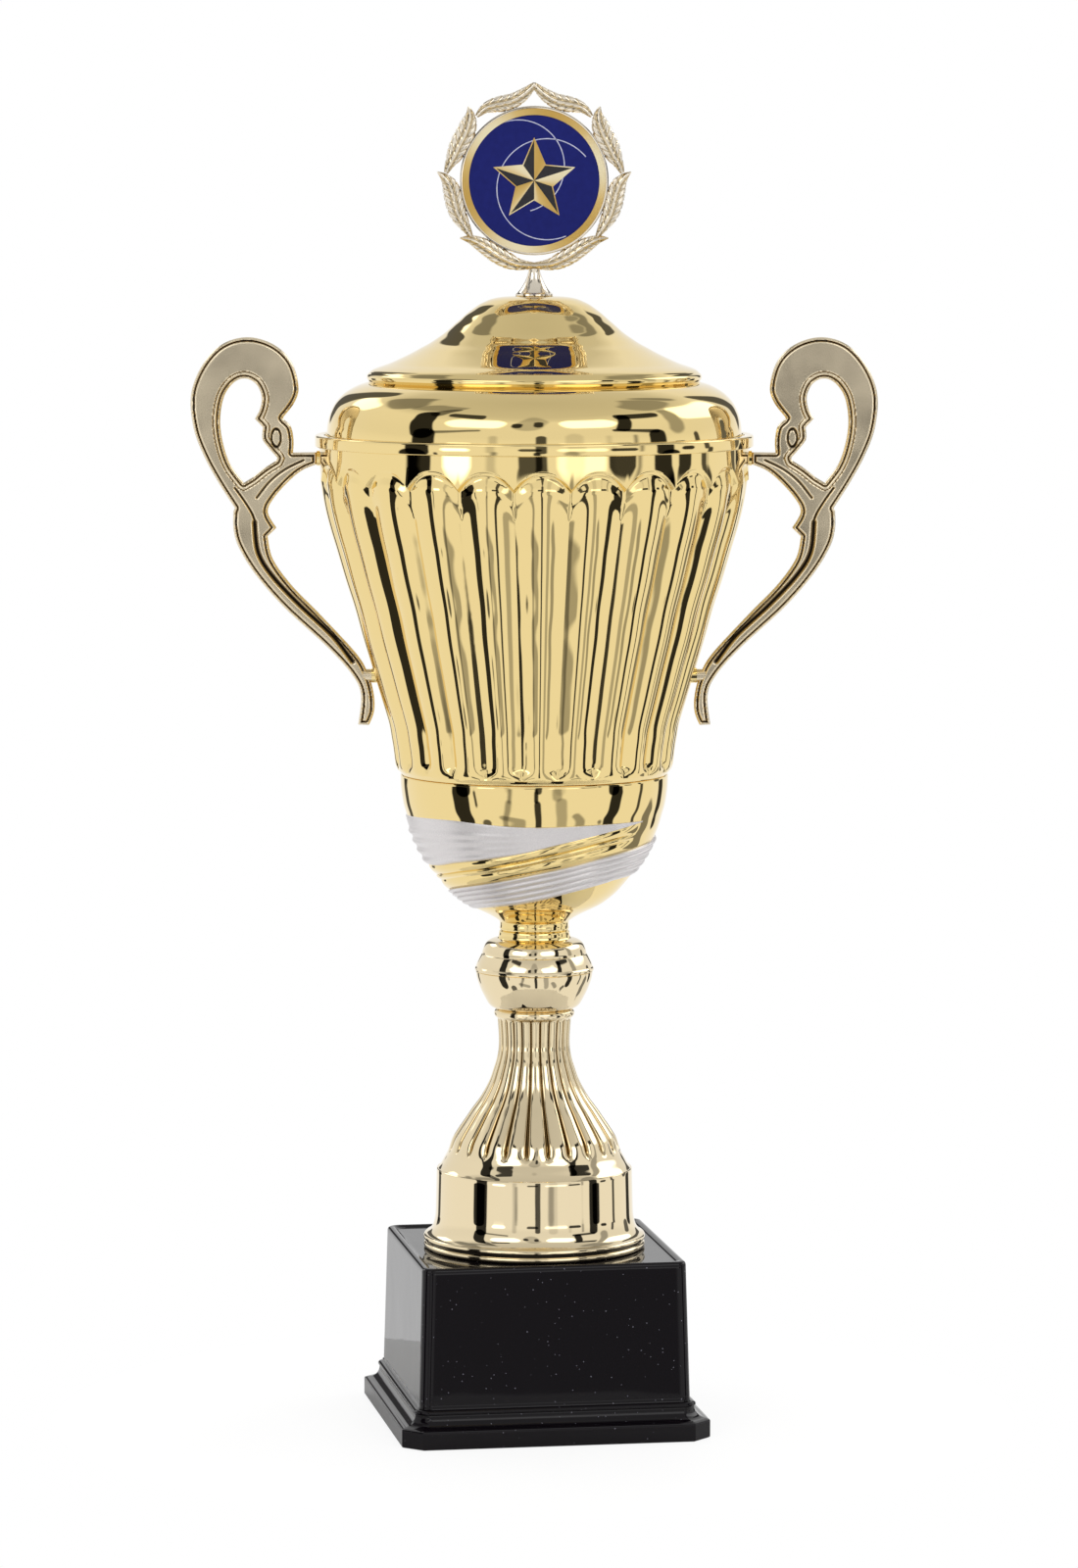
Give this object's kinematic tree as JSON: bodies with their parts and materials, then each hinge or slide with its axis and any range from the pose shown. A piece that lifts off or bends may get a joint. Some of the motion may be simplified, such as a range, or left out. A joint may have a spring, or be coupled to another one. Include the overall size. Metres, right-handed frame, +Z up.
{
  "type": "presentation cup",
  "caption": "Tall two-handled presentation cup with a fluted gold body, a lift-off domed lid, a laurel emblem holder on top and a weighted black square base.",
  "frame": {"origin": "centre of the base's underside, on the cup's axis", "axes": "+Z up; the emblem and the front face -Y; the handles lie along X, the left handle at -X; the base stands turned about Z"},
  "size_m": [0.24, 0.1532, 0.4702],
  "materials": {
    "bright_gold": "moulded plastic, vacuum-metallised bright gold under clear lacquer",
    "champagne_gold": "moulded plastic, vacuum-metallised pale champagne gold",
    "pale_gold": "moulded plastic, vacuum-metallised silvery gold",
    "black_gloss": "polished black moulding with faint speckles",
    "cast_stone": "rough casting",
    "foam": "closed-cell foam sheet",
    "zinc_steel": "zinc-plated",
    "emblem": "printed disc with a gold border under clear resin"
  },
  "bodies": {
    "cup": {"base_shell": "black_gloss", "base_ballast": "cast_stone", "base_pad": "foam", "tie_rod": "zinc_steel", "base_washer": "zinc_steel", "base_nut": "zinc_steel", "drum_foot": "champagne_gold", "fluted_stem": "champagne_gold", "knob_cup": "champagne_gold", "knob_cap": "champagne_gold", "neck_collar": "bright_gold", "lower_bowl": "bright_gold", "bowl_washer": "zinc_steel", "bowl_nut": "zinc_steel", "fluted_cup": "bright_gold", "left_handle": "champagne_gold", "right_handle": "champagne_gold", "left_handle_screws": "zinc_steel", "right_handle_screws": "zinc_steel"},
    "lid": {"lid": "bright_gold", "wreath_holder": "pale_gold", "emblem_disc": "emblem", "lid_washer": "zinc_steel", "lid_nut": "zinc_steel"}
  },
  "joints": [
    {"name": "lid_lift", "type": "slide", "parent": "cup", "child": "lid", "axis": [0, 0, 1], "range_m": [0, 0.05]}
  ]
}
